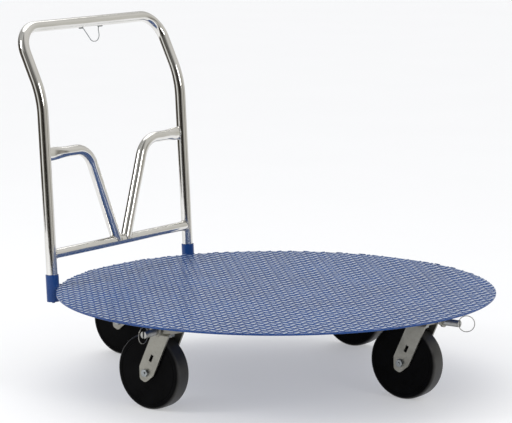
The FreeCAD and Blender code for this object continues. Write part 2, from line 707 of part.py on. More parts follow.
def save(name, shape):
    moved = shape.copy()
    moved.translate(V(frame_shift(), 0, 0))
    solids = moved.Solids
    if not solids or not moved.isValid():
        raise ValueError(f"{name} has no valid solid")
    out = solids[0] if len(solids) == 1 else Part.makeCompound(solids)
    out.exportStep(os.path.join("parts", name + ".step"))


def save_caster(name, bearing):
    tip = TIP_PULLED if name in LOCKS_PULLED_OUT else TIP_RIDING
    save(f"top_plate_{name}", placed(top_plate(), bearing))
    save(f"lock_barrel_{name}", placed(lock_barrel(), bearing))
    save(f"lock_plunger_{name}", placed(lock_plunger(tip), bearing))
    save(f"pull_ring_{name}", placed(pull_ring(tip, RING_TWISTS[name]), bearing))
    save(f"fork_{name}", trailed(fork(), bearing))
    save(f"axle_bolt_{name}", trailed(axle_bolt(), bearing))
    save(f"axle_nut_{name}", trailed(axle_nut(), bearing))
    save(f"axle_sleeve_{name}", trailed(axle_sleeve(), bearing))
    save(f"wheel_{name}", trailed(wheel(), bearing))
    save(f"roller_bearing_{name}", trailed(roller_bearing(), bearing))


def on_every_caster(shape):
    return Part.makeCompound([placed(shape, bearing) for bearing in CASTER_BEARINGS.values()])


def main():
    os.makedirs("parts", exist_ok=True)
    save("deck_plate", deck_plate())
    long_one, halves = cross_channels()
    save("cross_channel_long", long_one)
    save("cross_channel_halves", halves)
    save("caster_pads", on_every_caster(caster_pad()))
    save("plate_bolts", on_every_caster(plate_bolts()))
    save("kingpins", on_every_caster(kingpin()))
    save("kingpin_nuts", on_every_caster(kingpin_nut()))
    save("swivel_balls", on_every_caster(swivel_balls()))
    springs = []
    for name, bearing in CASTER_BEARINGS.items():
        tip = TIP_PULLED if name in LOCKS_PULLED_OUT else TIP_RIDING
        springs.append(placed(lock_spring(tip), bearing))
        save_caster(name, bearing)
    save("lock_springs", Part.makeCompound(springs))
    for name, side in (("left", 1), ("right", -1)):
        save(f"handle_socket_{name}", handle_socket(side))
        save(f"handle_brace_{name}", brace(side))
    save("socket_stops", Part.makeCompound([socket_stop(side) for side in (1, -1)]))
    save("handle_tube", handle_tube())
    save("handle_crossbar", crossbar())
    save("wire_bail", wire_bail())
    save("bail_tabs", bail_tabs())


main()
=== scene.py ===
import math

import bmesh
import bpy
from mathutils import Matrix, Vector


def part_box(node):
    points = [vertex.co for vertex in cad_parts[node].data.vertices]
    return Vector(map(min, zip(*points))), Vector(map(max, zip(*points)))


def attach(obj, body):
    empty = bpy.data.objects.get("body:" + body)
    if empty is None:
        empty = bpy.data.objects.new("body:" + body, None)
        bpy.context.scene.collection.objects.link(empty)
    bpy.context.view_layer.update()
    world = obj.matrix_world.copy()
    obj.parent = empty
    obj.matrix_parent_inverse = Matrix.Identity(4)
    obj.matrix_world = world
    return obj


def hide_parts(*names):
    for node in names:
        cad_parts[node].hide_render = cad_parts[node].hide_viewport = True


# Round platform cart: a blue tread-plate deck on four locking swivel casters, with a chromed
# tube handle standing in two sockets on the rim. Metres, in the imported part's own frame.

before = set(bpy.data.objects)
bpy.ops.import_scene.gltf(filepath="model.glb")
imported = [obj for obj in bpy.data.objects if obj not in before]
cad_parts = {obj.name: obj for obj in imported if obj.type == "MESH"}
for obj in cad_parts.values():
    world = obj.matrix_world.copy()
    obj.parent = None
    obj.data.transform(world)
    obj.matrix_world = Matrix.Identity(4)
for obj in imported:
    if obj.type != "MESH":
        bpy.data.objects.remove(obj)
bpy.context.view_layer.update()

CASTERS = ("front", "left", "back", "right")

# Deck and tread
LUG_HEIGHT = 0.0019
LUG_LENGTH = 0.0265
LUG_WIDTH = 0.0080
LUG_SPACING = 0.0230
LUG_TURN = math.radians(-3.0)
LUG_EDGE_GAP = 0.0004
LUG_TOP_SHARE = 0.66
LUG_PINCH = 0.42
LUG_SEED = 7
DECK_EDGE_BREAK = 0.0007
DECK_STEPS = 288

# Handle tube
POST_R = 0.015875
CROSSBAR_R = 0.0143
BRACE_R = 0.015875
TUBE_WALL = 0.0021
POST_LEAN = math.radians(3.05)
UPPER_LEAN = math.radians(25.5)
UPPER_RISE = 0.1881
BEND_RADIUS = 0.255
CORNER_RADIUS = 0.0762
BRACE_LEAN = math.radians(21.5)
BRACE_BEND_RADIUS = 0.075
BRACE_FOOT_GAP = 0.005876
BRACE_FLAT_TALL = 0.019
BRACE_FLAT_THICK = 0.0055
BRACE_FLAT_LENGTH = 0.014
BRACE_TAPER_LENGTH = 0.062
TUBE_STEPS = 48
BEND_STEP = math.radians(2.5)
OPEN_END_DEPTH = 0.040
LIP_SHARE = 0.25
BRACE_PRESS_STEPS = 12

# Wheel profile
WHEEL_SHOULDER = 0.009
HUB_R = 0.023
BORE_R = 0.0151
FACE_RING_INSET = 0.015
FACE_RING_WIDTH = 0.002
FACE_RING_DEPTH = 0.0008
FACE_RING_SLOPE = 0.0004
HUB_PROUD = 0.003
HUB_EDGE = 0.0008
HUB_ROOT = 0.0015
BORE_EDGE = 0.0006
TREAD_CROWN = 0.0004
TREAD_DUST_START = 0.006
TREAD_DUST_FADE = 0.005
WHEEL_STEPS = 144

# Weld beads
WELD_R = 0.0021
WELD_PITCH = 0.0021
WELD_RIPPLE = 0.26
WELD_STEP = 0.0005
WELD_SEED = 7
JOINT_STEPS = 72
UNDERDECK_WELD_R = 0.0026
SOCKET_WELD_R = 0.0022

# Where the welds under the deck and at the rim run
PAD_LONG = 0.1263 / 2
PAD_SHORT = 0.1136 / 2
PAD_WELD_CORNER = 0.008
CHANNEL_HALF = 0.038
CHANNEL_REACH = 0.400
CHANNEL_WELD_START = 0.02
STITCH_LENGTH = 0.045
STITCH_GAP = 0.075
TOP_PLATE_HALF = 0.1143 / 2
LOCK_TAB_THICKNESS = 0.006
SOCKET_WELD_SIDE = 0.0130
SOCKET_WELD_UNDER = 0.0128
SOCKET_WELD_REACH = 0.0110
SOCKET_WELD_INSET = 0.0120

# Edges turned by more than these angles, in degrees, stay sharp, and on CAD copies are rounded over
LUG_SMOOTH = 25
DECK_SMOOTH = 30
CAD_SMOOTH = 35
TUBE_SMOOTH = 40
BEAD_SMOOTH = 60


# Small helpers

def linked(name, mesh):
    piece = bpy.data.objects.new(name, mesh)
    bpy.context.scene.collection.objects.link(piece)
    return piece


def mesh_from(name, points, faces):
    mesh = bpy.data.meshes.new(name)
    mesh.from_pydata([tuple(p) for p in points], [], faces)
    mesh.validate()
    return mesh


def smoothed(mesh, angle):
    mesh.shade_smooth()
    mesh.set_sharp_from_angle(angle=math.radians(angle))
    return mesh


def outward(mesh):
    shell = bmesh.new()
    shell.from_mesh(mesh)
    bmesh.ops.recalc_face_normals(shell, faces=shell.faces)
    shell.to_mesh(mesh)
    shell.free()
    return mesh


def evaluated(piece):
    """The piece's mesh with its modifiers worked in, as a plain mesh."""
    graph = bpy.context.evaluated_depsgraph_get()
    return bpy.data.meshes.new_from_object(
        piece.evaluated_get(graph), preserve_all_data_layers=True, depsgraph=graph)


def given(piece, body, slot, material, *stands_for):
    """Gives a finished piece its material and its body, and hides the CAD nodes that it stands for. Its slot
    is not used.
    """
    if material is not None:
        piece.data.materials.clear()
        piece.data.materials.append(material)
    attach(piece, body)
    if stands_for:
        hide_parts(*stands_for)


def centre_of(node):
    low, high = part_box(node)
    return (low + high) / 2


# Material helpers

def new_material(name, **constants):
    material = bpy.data.materials.new(name)
    material.use_nodes = True
    shader = material.node_tree.nodes["Principled BSDF"]
    for socket, value in constants.items():
        shader.inputs[socket.replace("_", " ")].default_value = value
    return material, material.node_tree, shader


def add_node(tree, kind, inputs=(), **settings):
    made = tree.nodes.new(kind)
    for key, value in settings.items():
        setattr(made, key, value)
    for key, value in dict(inputs).items():
        if isinstance(value, bpy.types.NodeSocket):
            tree.links.new(value, made.inputs[key])
        else:
            made.inputs[key].default_value = value
    return made


def object_place(tree):
    return add_node(tree, "ShaderNodeTexCoord").outputs["Object"]


def attribute(tree, name, output="Vector"):
    return add_node(tree, "ShaderNodeAttribute", attribute_name=name).outputs[output]


def stretched(tree, place, scale):
    return add_node(tree, "ShaderNodeMapping", {"Vector": place, "Scale": scale}).outputs["Vector"]


def noise(tree, place, scale, detail=3.0, rough=0.5, distort=0.0):
    made = add_node(tree, "ShaderNodeTexNoise", {
        "Vector": place, "Scale": scale, "Detail": detail, "Roughness": rough, "Distortion": distort})
    return made.outputs["Fac"]


def ramp(tree, factor, *stops):
    """Colours along a factor, as (place, colour) pairs."""
    made = add_node(tree, "ShaderNodeValToRGB", {"Fac": factor})
    elements = made.color_ramp.elements
    while len(elements) < len(stops):
        elements.new(1.0)
    for element, (where, colour) in zip(elements, stops):
        element.position = where
        element.color = (*colour, 1)
    return made.outputs["Color"]


def spread(tree, value, low, high, from_low=0.3, from_high=0.7):
    return add_node(tree, "ShaderNodeMapRange", {
        "Value": value, "From Min": from_low, "From Max": from_high,
        "To Min": low, "To Max": high}).outputs["Result"]


def mixed(tree, factor, a, b):
    made = add_node(tree, "ShaderNodeMix", data_type="RGBA")
    for index, value in ((0, factor), (6, a), (7, b)):
        if isinstance(value, bpy.types.NodeSocket):
            tree.links.new(value, made.inputs[index])
        else:
            made.inputs[index].default_value = value if index == 0 else (*value, 1)
    return made.outputs[2]


def maths(tree, operation, a, b=0.0):
    made = tree.nodes.new("ShaderNodeMath")
    made.operation = operation
    for index, value in enumerate((a, b)):
        if isinstance(value, bpy.types.NodeSocket):
            tree.links.new(value, made.inputs[index])
        else:
            made.inputs[index].default_value = value
    return made.outputs[0]


def vector_maths(tree, operation, a, b=None):
    """Vector arithmetic. A length or a dot product comes out as a number."""
    made = tree.nodes.new("ShaderNodeVectorMath")
    made.operation = operation
    for index, value in enumerate((a, b)):
        if value is None:
            continue
        if isinstance(value, bpy.types.NodeSocket):
            tree.links.new(value, made.inputs[index])
        else:
            made.inputs[index].default_value = value
    return made.outputs["Value" if operation in ("LENGTH", "DOT_PRODUCT") else "Vector"]


def bumped(tree, shader, *layers):
    """Lays bump layers over one another, as (height, distance, strength)."""
    normal = None
    for height, distance, strength in layers:
        inputs = {"Height": height, "Distance": distance, "Strength": strength}
        if normal is not None:
            inputs["Normal"] = normal
        normal = add_node(tree, "ShaderNodeBump", inputs).outputs["Normal"]
    tree.links.new(normal, shader.inputs["Normal"])


def feeds(tree, shader, **sockets):
    for socket, value in sockets.items():
        tree.links.new(value, shader.inputs[socket.replace("_", " ")])


# Finishes

BLUE_DEEP = (0.005, 0.037, 0.160)
BLUE_LIGHT = (0.009, 0.056, 0.215)
BLUE_DUST = (0.060, 0.110, 0.260)
# Paler lug-top colour: partly wear, partly a painted highlight for the light that the lug tops catch.
BLUE_WORN_AND_SHEEN = (0.55, 0.64, 0.68)
LUG_TOP_COAT_IOR = 1.9
WHEEL_FACE_SPECULAR = 0.03
TREAD_SPECULAR = 0.45


def blue_paint(name, wear_and_sheen_height=None):
    """Glossy blue enamel, with orange peel and dust. Above the given height the paint is paler and coated:
    partly wear, partly a painted highlight.
    """
    material, tree, shader = new_material(
        name, Specular_IOR_Level=0.30, Coat_Weight=0.05, Coat_Roughness=0.12)
    place = object_place(tree)
    colour = ramp(tree, noise(tree, place, 5.0, 5.0), (0.30, BLUE_DEEP), (0.70, BLUE_LIGHT))
    dust = spread(tree, noise(tree, place, 60.0, 9.0, 0.72), 0.0, 0.30, 0.52, 0.78)
    colour = mixed(tree, dust, colour, BLUE_DUST)
    roughness = spread(tree, noise(tree, place, 24.0, 6.0, 0.65), 0.17, 0.34)
    if wear_and_sheen_height is not None:
        height = add_node(tree, "ShaderNodeSeparateXYZ", {"Vector": place}).outputs["Z"]
        top = spread(tree, height, 0.0, 1.0, wear_and_sheen_height, wear_and_sheen_height + LUG_HEIGHT * 0.35)
        patches = spread(tree, noise(tree, place, 130.0, 6.0, 0.7), 0.70, 1.0, 0.38, 0.58)
        wear_and_sheen = maths(tree, "MULTIPLY", top, patches)
        # The lug tops are painted paler here: partly wear, partly a painted highlight.
        colour = mixed(tree, maths(tree, "MULTIPLY", wear_and_sheen, 0.55), colour, BLUE_WORN_AND_SHEEN)
        roughness = maths(tree, "ADD", roughness, maths(tree, "MULTIPLY", wear_and_sheen, 0.04))
        shader.inputs["Coat IOR"].default_value = LUG_TOP_COAT_IOR
        feeds(tree, shader, Coat_Weight=wear_and_sheen)
    feeds(tree, shader, Base_Color=colour, Roughness=roughness)
    bumped(tree, shader, (noise(tree, place, 420.0, 2.0), 0.00012, 0.35),
           (noise(tree, place, 14.0, 3.0), 0.0006, 0.25))
    return material


def chrome():
    """Bright chromed tube with fine drawing lines, faint waves and small scuffs."""
    material, tree, shader = new_material("chromed_tube", Metallic=1.0)
    grain = attribute(tree, "grain")
    place = object_place(tree)
    lines = noise(tree, stretched(tree, grain, (900, 900, 9)), 1.0, 4.0, 0.6)
    waves = noise(tree, stretched(tree, grain, (60, 60, 7)), 1.0, 2.0)
    scuffs = spread(tree, noise(tree, place, 95.0, 8.0, 0.75), 0.0, 1.0, 0.60, 0.74)
    colour = ramp(tree, waves, (0.30, (0.70, 0.69, 0.66)), (0.70, (0.82, 0.81, 0.79)))
    colour = mixed(tree, maths(tree, "MULTIPLY", scuffs, 0.35), colour, (0.46, 0.45, 0.43))
    roughness = maths(tree, "ADD", spread(tree, lines, 0.05, 0.14),
                      maths(tree, "MULTIPLY", scuffs, 0.16))
    feeds(tree, shader, Base_Color=colour, Roughness=roughness)
    bumped(tree, shader, (waves, 0.0011, 0.55), (lines, 0.000035, 0.35))
    return material


def metal(name, dark, light, rough, patch_scale, grain_scale):
    """A plated or machined metal: blotchy plating, fine grain and handling marks."""
    material, tree, shader = new_material(name, Metallic=1.0)
    place = object_place(tree)
    patches = noise(tree, place, patch_scale, 6.0, 0.6, 0.4)
    fine = noise(tree, place, grain_scale, 4.0, 0.65)
    marks = spread(tree, noise(tree, place, patch_scale * 5, 9.0, 0.75), 0.0, 1.0, 0.56, 0.72)
    colour = ramp(tree, patches, (0.28, dark), (0.72, light))
    stain = tuple(c * 0.55 for c in dark)
    colour = mixed(tree, maths(tree, "MULTIPLY", marks, 0.4), colour, stain)
    roughness = maths(tree, "ADD", spread(tree, fine, rough[0], rough[1]),
                      maths(tree, "MULTIPLY", marks, 0.10))
    feeds(tree, shader, Base_Color=colour, Roughness=roughness)
    bumped(tree, shader, (patches, 0.0004, 0.20), (fine, 0.00005, 0.40))
    return material


def wheel_black():
    """Hard black wheel: deep black moulded faces, a greyer dusty tread."""
    material, tree, shader = new_material("black_wheel")
    place = object_place(tree)
    tread = attribute(tree, "tread", "Fac")
    cloud = noise(tree, place, 28.0, 7.0, 0.62)
    specks = spread(tree, noise(tree, place, 260.0, 6.0, 0.7), 0.0, 1.0, 0.60, 0.75)
    face = ramp(tree, cloud, (0.30, (0.0010, 0.0010, 0.0010)), (0.75, (0.0030, 0.0030, 0.0033)))
    dusty = ramp(tree, cloud, (0.30, (0.010, 0.0095, 0.009)), (0.75, (0.036, 0.034, 0.031)))
    colour = mixed(tree, tread, face, dusty)
    colour = mixed(tree, maths(tree, "MULTIPLY", specks, 0.10), colour, (0.03, 0.0285, 0.0265))
    roughness = maths(tree, "ADD", spread(tree, cloud, 0.24, 0.36),
                      maths(tree, "MULTIPLY", tread, 0.16))
    feeds(tree, shader, Base_Color=colour, Roughness=roughness,
          Specular_IOR_Level=spread(tree, tread, WHEEL_FACE_SPECULAR, TREAD_SPECULAR, 0.0, 1.0))
    bumped(tree, shader, (cloud, 0.0004, 0.20), (noise(tree, place, 520.0, 3.0), 0.00008, 0.35))
    return material


METALS = {
    "plate": ("zinc_plated_sheet", (0.26, 0.255, 0.225), (0.38, 0.37, 0.33), (0.36, 0.50), 22.0, 900.0),
    "bright": ("bright_zinc", (0.21, 0.23, 0.24), (0.36, 0.38, 0.385), (0.24, 0.38), 60.0, 1200.0),
    "satin": ("satin_zinc", (0.40, 0.40, 0.385), (0.55, 0.55, 0.53), (0.40, 0.55), 55.0, 1000.0),
    "wire": ("bright_wire", (0.20, 0.195, 0.18), (0.34, 0.33, 0.31), (0.26, 0.40), 90.0, 1400.0),
    "steel": ("oiled_steel", (0.20, 0.19, 0.18), (0.42, 0.41, 0.39), (0.22, 0.36), 45.0, 1400.0),
    "weld": ("chromed_weld", (0.50, 0.49, 0.46), (0.76, 0.75, 0.72), (0.12, 0.28), 150.0, 1500.0)}


def make_materials():
    """Every finish by its short name. METALS holds (name, dark, light, roughness, patches, grain)."""
    _, deck_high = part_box("deck_plate")
    finishes = {key: metal(*look) for key, look in METALS.items()}
    finishes.update({
        "paint": blue_paint("blue_enamel"),
        # Lug finish: its tops are painted paler, partly wear and partly a painted highlight.
        "lugs": blue_paint("blue_enamel_worn_and_sheen", deck_high.z - LUG_HEIGHT * 0.45),
        "chrome": chrome(),
        "wheel": wheel_black()})
    return finishes


# Geometry Nodes helpers

def grower(name, inputs):
    """A new geometry tree with a geometry input and output and the named inputs given."""
    tree = bpy.data.node_groups.new(name, "GeometryNodeTree")
    tree.interface.new_socket("Geometry", in_out="INPUT", socket_type="NodeSocketGeometry")
    for label, kind in inputs.items():
        tree.interface.new_socket(label, in_out="INPUT", socket_type="NodeSocket" + kind)
    tree.interface.new_socket("Geometry", in_out="OUTPUT", socket_type="NodeSocketGeometry")
    return tree, tree.nodes.new("NodeGroupInput").outputs, tree.nodes.new("NodeGroupOutput").inputs


def grown(name, base, tree, values):
    """Runs a geometry tree over a mesh and keeps what it makes as a plain mesh."""
    holder = linked(name + "_base", base)
    modifier = holder.modifiers.new("grow", "NODES")
    modifier.node_group = tree
    for item in tree.interface.items_tree:
        if item.in_out == "INPUT" and item.name in values:
            modifier[item.identifier] = values[item.name]
    mesh = evaluated(holder)
    bpy.data.objects.remove(holder)
    mesh.name = name
    return linked(name, mesh)


# Deck

def lug_shape(tree, given_in):
    """One raised lug: a low lens of a cone frustum, convex down its sides, pinched at its ends."""
    cone = add_node(tree, "GeometryNodeMeshCone", {
        "Vertices": 10, "Side Segments": 2, "Radius Top": LUG_TOP_SHARE,
        "Radius Bottom": 1.0, "Depth": 1.0},
        fill_type="NGON").outputs["Mesh"]
    parts = add_node(tree, "ShaderNodeSeparateXYZ", {
        "Vector": add_node(tree, "GeometryNodeInputPosition").outputs["Position"]}).outputs
    pinch = maths(tree, "MULTIPLY", maths(tree, "MULTIPLY", parts["X"], parts["X"]), LUG_PINCH)
    narrow = maths(tree, "SUBTRACT", 1.0, pinch)
    along = maths(tree, "MULTIPLY", parts["X"], maths(tree, "DIVIDE", given_in["Lug Length"], 2.0))
    across = maths(tree, "MULTIPLY", parts["Y"], maths(tree, "DIVIDE", given_in["Lug Width"], 2.0))
    across = maths(tree, "MULTIPLY", across, narrow)
    rise = maths(tree, "SINE", maths(tree, "MULTIPLY", parts["Z"], math.pi / 2))
    rise = maths(tree, "MULTIPLY", rise, given_in["Lug Height"])
    place = add_node(tree, "ShaderNodeCombineXYZ", {"X": along, "Y": across, "Z": rise}).outputs["Vector"]
    return add_node(tree, "GeometryNodeSetPosition", {
        "Geometry": cone, "Position": place}).outputs["Geometry"]


def tread_tree():
    """Lugs on a square lattice, every other one turned a quarter, cut off at the deck's edge."""
    tree, got, out = grower("tread_lugs", {
        "Deck Radius": "Float", "Count": "Int", "Spacing": "Float", "Lug Length": "Float",
        "Lug Width": "Float", "Lug Height": "Float", "Turn": "Float", "Seed": "Int", "Finish": "Material"})
    span = maths(tree, "MULTIPLY", maths(tree, "SUBTRACT", got["Count"], 1.0), got["Spacing"])
    lattice = add_node(tree, "GeometryNodeMeshGrid", {
        "Size X": span, "Size Y": span,
        "Vertices X": got["Count"], "Vertices Y": got["Count"]}).outputs["Mesh"]
    place = add_node(tree, "GeometryNodeInputPosition").outputs["Position"]
    reach = vector_maths(tree, "LENGTH", place)
    overhang = maths(tree, "MULTIPLY", got["Lug Length"], 0.25)
    inside = maths(tree, "LESS_THAN", reach, maths(tree, "ADD", got["Deck Radius"], overhang))
    index = add_node(tree, "GeometryNodeInputIndex").outputs["Index"]
    row = maths(tree, "FLOOR", maths(tree, "DIVIDE", index, got["Count"]))
    column = maths(tree, "SUBTRACT", index, maths(tree, "MULTIPLY", row, got["Count"]))
    odd = maths(tree, "MODULO", maths(tree, "ADD", row, column), 2.0)
    quarter = maths(tree, "MULTIPLY", odd, math.pi / 2)
    spin = add_node(tree, "ShaderNodeCombineXYZ", {"Z": quarter}).outputs["Vector"]
    turned = add_node(tree, "FunctionNodeEulerToRotation", {"Euler": spin}).outputs["Rotation"]
    size = add_node(tree, "FunctionNodeRandomValue", data_type="FLOAT")
    size.inputs[2].default_value = 0.97
    size.inputs[3].default_value = 1.03
    tree.links.new(got["Seed"], size.inputs["Seed"])
    lugs = add_node(tree, "GeometryNodeInstanceOnPoints", {
        "Points": lattice, "Selection": inside, "Instance": lug_shape(tree, got), "Rotation": turned,
        "Scale": add_node(tree, "ShaderNodeCombineXYZ", {
            "X": size.outputs[1], "Y": size.outputs[1], "Z": 1.0}).outputs["Vector"]}).outputs["Instances"]
    lugs = add_node(tree, "GeometryNodeRealizeInstances", {"Geometry": lugs}).outputs["Geometry"]
    round_z = add_node(tree, "ShaderNodeCombineXYZ", {"Z": got["Turn"]}).outputs["Vector"]
    lugs = add_node(tree, "GeometryNodeTransform", {
        "Geometry": lugs, "Rotation": add_node(tree, "FunctionNodeEulerToRotation", {
            "Euler": round_z}).outputs["Rotation"]}).outputs["Geometry"]
    flat = vector_maths(tree, "MULTIPLY", place, (1, 1, 0))
    beyond = maths(tree, "DIVIDE", vector_maths(tree, "LENGTH", flat), got["Deck Radius"])
    over = maths(tree, "MAXIMUM", beyond, 1.0)
    pull = maths(tree, "DIVIDE", 1.0, over)
    cut = add_node(tree, "ShaderNodeCombineXYZ", {"X": pull, "Y": pull, "Z": 1.0}).outputs["Vector"]
    lugs = add_node(tree, "GeometryNodeSetPosition", {
        "Geometry": lugs, "Position": vector_maths(tree, "MULTIPLY", place, cut)}).outputs["Geometry"]
    lugs = add_node(tree, "GeometryNodeSetMaterial", {
        "Geometry": lugs, "Material": got["Finish"]}).outputs["Geometry"]
    tree.links.new(lugs, out["Geometry"])
    return tree


def deck(materials):
    low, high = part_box("deck_plate")
    centre = (low + high) / 2
    radius = (high.x - low.x) / 2
    top, bottom = high.z - LUG_HEIGHT, low.z
    edge = DECK_EDGE_BREAK
    profile = [(radius - edge, bottom), (radius, bottom + edge), (radius, top - edge), (radius - edge, top)]
    mesh = turned_mesh("deck_plate_painted", profile, DECK_STEPS, capped=True)
    mesh.transform(Matrix.Translation((centre.x, centre.y, 0)))
    plate = linked("deck_plate_painted", smoothed(mesh, DECK_SMOOTH))
    given(plate, "root", "blue_paint", materials["paint"], "deck_plate")

    base = mesh_from("tread_seed", [(0, 0, 0)], [])
    count = 2 * math.ceil(radius * 1.08 / LUG_SPACING) + 1
    lugs = grown("deck_tread_lugs", base, tread_tree(), {
        "Deck Radius": radius - LUG_EDGE_GAP, "Count": count, "Spacing": LUG_SPACING,
        "Lug Length": LUG_LENGTH, "Lug Width": LUG_WIDTH, "Lug Height": LUG_HEIGHT,
        "Turn": LUG_TURN, "Seed": LUG_SEED, "Finish": materials["lugs"]})
    lugs.data.transform(Matrix.Translation((centre.x, centre.y, top)))
    smoothed(lugs.data, LUG_SMOOTH)
    given(lugs, "root", "blue_paint", None)


def turned_mesh(name, profile, steps, capped=False):
    """A profile of (radius, height) turned about Z, closed by flat ends or into a ring."""
    points = []
    faces = []
    count = len(profile)
    for i in range(steps):
        angle = 2 * math.pi * i / steps
        points += [(r * math.cos(angle), r * math.sin(angle), z) for r, z in profile]
    last = count - 1 if capped else count
    for i in range(steps):
        j = (i + 1) % steps
        for k in range(last):
            m = (k + 1) % count
            faces.append((i * count + k, j * count + k, j * count + m, i * count + m))
    if capped:
        faces.append(tuple(i * count for i in reversed(range(steps))))
        faces.append(tuple(i * count + last for i in range(steps)))
    return outward(mesh_from(name, points, faces))


# Finished copies of CAD shapes

def softened(node, name, bevel, segments=2):
    """A copy of a CAD shape, merged, with its sharp edges rounded over."""
    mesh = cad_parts[node].data.copy()
    mesh.name = name
    shell = bmesh.new()
    shell.from_mesh(mesh)
    bmesh.ops.remove_doubles(shell, verts=shell.verts, dist=2e-6)
    bmesh.ops.dissolve_limit(shell, angle_limit=math.radians(0.4), verts=shell.verts, edges=shell.edges)
    shell.to_mesh(mesh)
    shell.free()
    smoothed(mesh, CAD_SMOOTH)
    piece = linked(name, mesh)
    rounding = piece.modifiers.new("rounding", "BEVEL")
    rounding.width = bevel
    rounding.segments = segments
    rounding.limit_method = "ANGLE"
    rounding.angle_limit = math.radians(CAD_SMOOTH)
    rounding.miter_outer = "MITER_ARC"
    weighting = piece.modifiers.new("weighting", "WEIGHTED_NORMAL")
    weighting.keep_sharp = False
    finished = evaluated(piece)
    bpy.data.objects.remove(piece)
    finished.name = name
    return linked(name, finished)


# Tubes

def arc_points(points, radii, step=BEND_STEP):
    """A path through the points with a tangent arc at each inner one, stepped finely round it."""
    path = [points[0].copy()]
    for i, radius in enumerate(radii, start=1):
        corner = points[i]
        into = (corner - points[i - 1]).normalized()
        away = (points[i + 1] - corner).normalized()
        turn = into.angle(away)
        start = corner - into * radius * math.tan(turn / 2)
        side = (away - into * away.dot(into)).normalized()
        count = max(3, round(turn / step))
        for k in range(count + 1):
            angle = turn * k / count
            path.append(start + into * radius * math.sin(angle) + side * radius * (1 - math.cos(angle)))
    path.append(points[-1].copy())
    return path


def frames_along(path, up):
    """A direction and two cross directions at each point, carried along the path without twist."""
    frames = []
    across = None
    for i, point in enumerate(path):
        before = path[max(i - 1, 0)]
        after = path[min(i + 1, len(path) - 1)]
        along = (after - before).normalized()
        if across is None:
            across = (up - along * up.dot(along)).normalized()
        else:
            across = (across - along * across.dot(along)).normalized()
        frames.append((point, along, across, along.cross(across)))
    return frames


def ring_mesh(name, rings, steps=TUBE_STEPS):
    """Skins rings of (centre, u, v, radius along u, radius along v), with a grain attribute."""
    points = []
    grain = []
    run = 0.0
    for index, (centre, u, v, ru, rv) in enumerate(rings):
        if index:
            run += (centre - rings[index - 1][0]).length
        for k in range(steps):
            angle = 2 * math.pi * k / steps
            points.append(centre + u * ru * math.cos(angle) + v * rv * math.sin(angle))
            grain.append((ru * math.cos(angle), rv * math.sin(angle), run))
    faces = []
    for i in range(len(rings) - 1):
        for k in range(steps):
            m = (k + 1) % steps
            faces.append((i * steps + k, i * steps + m, (i + 1) * steps + m, (i + 1) * steps + k))
    last = (len(rings) - 1) * steps
    faces.append(tuple(reversed(range(steps))))
    faces.append(tuple(last + k for k in range(steps)))
    mesh = mesh_from(name, points, faces)
    layer = mesh.attributes.new("grain", "FLOAT_VECTOR", "POINT")
    layer.data.foreach_set("vector", [c for g in grain for c in g])
    return outward(mesh)


def tube_rings(frames, radius, open_ends=False):
    """A tube's rings along its frames. Open ends have a rounded lip and a bore to look into."""
    rings = [(p, u, v, radius, radius) for p, along, u, v in frames]

    def mouth(frame_at, sign):
        point, along, u, v = frame_at
        inner = radius - TUBE_WALL
        lip = TUBE_WALL * LIP_SHARE
        return [(point + along * sign * lip, u, v, radius, radius),
                (point, u, v, radius - lip, radius - lip),
                (point, u, v, inner + lip, inner + lip),
                (point + along * sign * lip, u, v, inner, inner),
                (point + along * sign * OPEN_END_DEPTH, u, v, inner, inner)]

    if open_ends:
        rings = list(reversed(mouth(frames[0], 1))) + rings[1:-1] + mouth(frames[-1], -1)
    return rings


class Handle:
    """Places on the handle, worked out from its packed boxes."""

    def __init__(self):
        low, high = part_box("handle_tube")
        self.half = (high.y - low.y) / 2 - POST_R
        self.bar = Vector((low.x + POST_R, 0, high.z - POST_R))
        self.foot_z = low.z + POST_R * math.sin(POST_LEAN)
        self.bend = Vector((self.bar.x + UPPER_RISE * math.tan(UPPER_LEAN), 0, self.bar.z - UPPER_RISE))
        self.axis = Vector((-math.sin(POST_LEAN), 0, math.cos(POST_LEAN)))
        self.face = Vector((math.cos(POST_LEAN), 0, math.sin(POST_LEAN)))
        self.crossbar_z = centre_of("handle_crossbar").z
        brace_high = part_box("handle_brace_left")[1]
        self.brace_z = brace_high.z - BRACE_FLAT_TALL * math.cos(POST_LEAN)
        self.foot_y = BRACE_R / math.cos(BRACE_LEAN) + BRACE_FOOT_GAP / 2
        self.bend_y = self.foot_y + (self.brace_z - self.crossbar_z) * math.tan(BRACE_LEAN)

    def point(self, y, z):
        """The point of the posts' leaning plane at this Y and height."""
        return Vector((self.bend.x + (self.bend.z - z) * math.tan(POST_LEAN), y, z))


def handle_tube(at, material):
    points = [at.point(-at.half, at.foot_z), at.point(-at.half, at.bend.z),
              Vector((at.bar.x, -at.half, at.bar.z)), Vector((at.bar.x, at.half, at.bar.z)),
              at.point(at.half, at.bend.z), at.point(at.half, at.foot_z)]
    path = arc_points(points, [BEND_RADIUS, CORNER_RADIUS, CORNER_RADIUS, BEND_RADIUS])
    frames = frames_along(path, Vector((1, 0, 0)))
    mesh = ring_mesh("handle_tube_chromed", tube_rings(frames, POST_R, True))
    given(linked("handle_tube_chromed", smoothed(mesh, TUBE_SMOOTH)), "handle", "chrome", material,
          "handle_tube")


def crossbar(at, material):
    reach = at.half - POST_R * 0.55
    path = [at.point(y, at.crossbar_z) for y in (-reach, 0, reach)]
    frames = frames_along(path, Vector((1, 0, 0)))
    mesh = ring_mesh("handle_crossbar_chromed", tube_rings(frames, CROSSBAR_R))
    given(linked("handle_crossbar_chromed", smoothed(mesh, TUBE_SMOOTH)), "handle", "chrome", material,
          "handle_crossbar")


